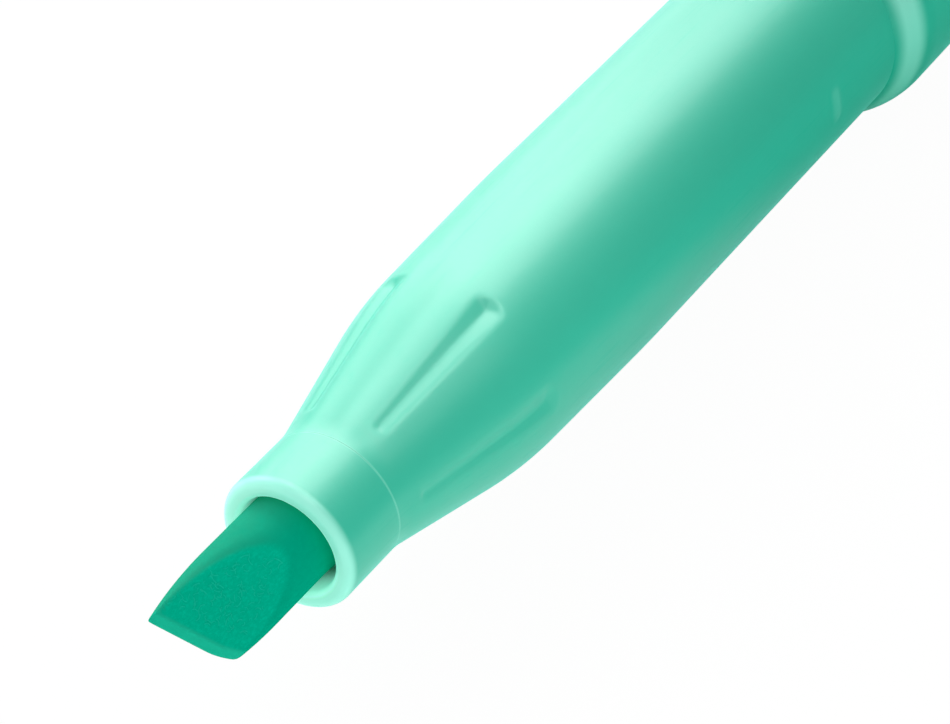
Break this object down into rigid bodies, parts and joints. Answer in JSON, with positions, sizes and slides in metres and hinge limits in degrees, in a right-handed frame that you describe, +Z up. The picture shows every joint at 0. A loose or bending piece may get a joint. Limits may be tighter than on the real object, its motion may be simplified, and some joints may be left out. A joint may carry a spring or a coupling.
{
  "type": "erasable highlighter",
  "caption": "Slim erasable highlighter with a slanted felt chisel nib in a fluted flared nose, straight barrel, rubber eraser on the tail and a clip cap posted over it.",
  "frame": {"origin": "on the pen's axis, halfway along the straight barrel", "axes": "+X along the pen from nib to tail, +Z up, with the pen lying on a table and the clip low on the -Y side"},
  "size_m": [0.1687, 0.0148, 0.0122],
  "materials": {
    "body_plastic": "smooth mint green moulding",
    "nib_felt": "felt soaked in green ink",
    "core_fibre": "bonded fibre soaked in green ink",
    "film": "clear thin film",
    "eraser_rubber": "matt friction rubber",
    "seal_plastic": "natural moulding"
  },
  "bodies": {
    "pen": {"nib": "nib_felt", "nib_holder": "body_plastic", "section": "body_plastic", "barrel": "body_plastic", "ink_core": "core_fibre", "core_film": "film", "tail_plug": "body_plastic", "eraser": "eraser_rubber"},
    "cap_body": {"cap": "body_plastic", "inner_cap": "seal_plastic"},
    "clip_body": {"clip": "body_plastic"}
  },
  "joints": [
    {"name": "cap_slide", "type": "slide", "parent": "pen", "child": "cap_body", "axis": [1, 0, 0], "range_m": [0, 0.032]},
    {"name": "clip_flex", "type": "hinge", "parent": "cap_body", "child": "clip_body", "pos_m": [0.07807, -0.00751, -0.00399], "axis": [0, -0.4695, 0.8829], "range_deg": [0, 4], "stiffness_Nm_per_rad": 2}
  ]
}
